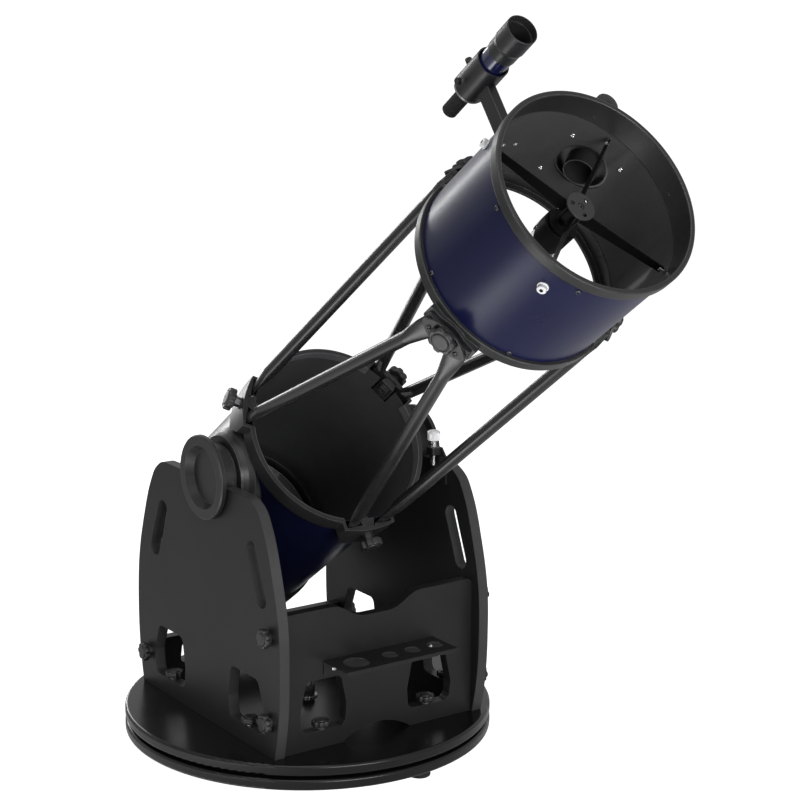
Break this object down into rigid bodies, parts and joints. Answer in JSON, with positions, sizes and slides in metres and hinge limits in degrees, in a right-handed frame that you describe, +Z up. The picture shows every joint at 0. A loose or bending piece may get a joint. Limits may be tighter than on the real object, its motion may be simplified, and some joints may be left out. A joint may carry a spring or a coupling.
{
  "type": "dobsonian telescope",
  "caption": "Truss-tube reflecting telescope on a low altitude-azimuth rocker box, with finder, focuser and eyepiece rack.",
  "frame": {"origin": "on the floor under the azimuth pivot", "axes": "+Z up; the altitude axis runs along X; the tube points towards -Y, 36 degrees up"},
  "size_m": [0.7339, 1.3706, 1.4363],
  "materials": {
    "black_board": "satin black laminate",
    "rubber": "matte",
    "pad_plastic": "matte",
    "zinc": "bright plated",
    "knob_plastic": "satin",
    "black_steel": "satin black",
    "blue_tube": "glossy dark blue",
    "black_casting": "satin black anodised or painted",
    "mirror": "polished",
    "glass": "polished"
  },
  "bodies": {
    "ground": {"ground_board": "black_board", "feet": "rubber", "azimuth_pads": "pad_plastic", "azimuth_bolt": "zinc", "azimuth_nut": "knob_plastic"},
    "rocker": {"rotating_board": "black_board", "left_side_panel": "black_board", "right_side_panel": "black_board", "front_panel": "black_board", "rear_panel": "black_board", "panel_knobs": "knob_plastic", "base_knobs": "knob_plastic", "eyepiece_rack": "black_steel", "tension_bracket": "black_casting", "panel_screws": "zinc", "bearing_pads": "pad_plastic"},
    "tension_screw": {"tension_screw": "zinc"},
    "clamp_knob_left": {"clamp_knob_left": "knob_plastic"},
    "clamp_knob_right": {"clamp_knob_right": "knob_plastic"},
    "clamp_knob_bottom": {"clamp_knob_bottom": "knob_plastic"},
    "fitting_knob_top": {"fitting_knob_top": "knob_plastic"},
    "fitting_knob_left": {"fitting_knob_left": "knob_plastic"},
    "fitting_knob_right": {"fitting_knob_right": "knob_plastic"},
    "drawtube": {"focuser_drawtube": "black_casting"},
    "focus_knobs": {"focus_knobs": "black_casting"},
    "finder_eyepiece": {"finder_eyepiece": "knob_plastic"},
    "tube": {"bottom_ring": "black_casting", "clamp_wedges": "black_casting", "collimation_knobs": "knob_plastic", "finder_bracket": "black_casting", "finder_dew_shield": "black_casting", "finder_lens": "glass", "finder_screws": "knob_plastic", "finder_shoe": "black_casting", "finder_tube": "blue_tube", "fitting_plates": "black_casting", "focuser_body": "black_casting", "focuser_screws": "zinc", "front_ring": "black_casting", "left_altitude_bearing": "black_casting", "lower_truss_ring": "black_casting", "lower_tube": "blue_tube", "mirror_cell": "black_casting", "primary_mirror": "mirror", "right_altitude_bearing": "black_casting", "secondary_holder": "black_casting", "secondary_mirror": "mirror", "secondary_screws": "black_steel", "spider_hub": "black_casting", "spider_nuts": "zinc", "spider_vanes": "black_steel", "truss_pole_1": "black_casting", "truss_pole_2": "black_casting", "truss_pole_3": "black_casting", "truss_pole_4": "black_casting", "truss_pole_5": "black_casting", "truss_pole_6": "black_casting", "tube_screws": "zinc", "upper_truss_ring": "black_casting", "upper_tube": "blue_tube"}
  },
  "joints": [
    {"name": "azimuth", "type": "hinge", "parent": "ground", "child": "rocker", "pos_m": [0, 0, 0.04], "axis": [0, 0, 1], "continuous": true},
    {"name": "altitude", "type": "hinge", "parent": "rocker", "child": "tube", "pos_m": [0, -0.012, 0.56], "axis": [1, 0, 0], "range_deg": [-54, 36]},
    {"name": "tension_turn", "type": "hinge", "parent": "rocker", "child": "tension_screw", "pos_m": [0.2094, -0.134, 0.598], "axis": [0, 0, 1], "range_deg": [-720, 720]},
    {"name": "clamp_turn_left", "type": "hinge", "parent": "tube", "child": "clamp_knob_left", "pos_m": [-0.1726, -0.03595, 0.70057], "axis": [-0.866, 0.2939, 0.4045], "range_deg": [-720, 720]},
    {"name": "clamp_turn_right", "type": "hinge", "parent": "tube", "child": "clamp_knob_right", "pos_m": [0.1726, -0.03595, 0.70057], "axis": [0.866, 0.2939, 0.4045], "range_deg": [-720, 720]},
    {"name": "clamp_turn_bottom", "type": "hinge", "parent": "tube", "child": "clamp_knob_bottom", "pos_m": [0, -0.21166, 0.45872], "axis": [0, -0.5878, -0.809], "range_deg": [-720, 720]},
    {"name": "fitting_turn_top", "type": "hinge", "parent": "tube", "child": "fitting_knob_top", "pos_m": [0, -0.51365, 1.17613], "axis": [0, 0.5878, 0.809], "range_deg": [-720, 720]},
    {"name": "fitting_turn_left", "type": "hinge", "parent": "tube", "child": "fitting_knob_left", "pos_m": [-0.17632, -0.69316, 0.92906], "axis": [-0.866, -0.2939, -0.4045], "range_deg": [-720, 720]},
    {"name": "fitting_turn_right", "type": "hinge", "parent": "tube", "child": "fitting_knob_right", "pos_m": [0.17632, -0.69316, 0.92906], "axis": [0.866, -0.2939, -0.4045], "range_deg": [-720, 720]},
    {"name": "focus_turn", "type": "hinge", "parent": "tube", "child": "focus_knobs", "pos_m": [0.13789, -0.63087, 1.23426], "axis": [0, -0.809, 0.5878], "range_deg": [-380, 475]},
    {"name": "focus_slide", "type": "slide", "parent": "tube", "child": "drawtube", "axis": [0.7071, 0.4156, 0.5721], "range_m": [-0.02, 0.025]},
    {"name": "finder_focus", "type": "hinge", "parent": "tube", "child": "finder_eyepiece", "pos_m": [-0.00537, -0.4782, 1.27937], "axis": [0, -0.809, 0.5878], "range_deg": [-360, 360]}
  ],
  "couplings": [
    {"joint": "focus_slide", "follows": "focus_turn", "m_per_rad": 0.003}
  ]
}
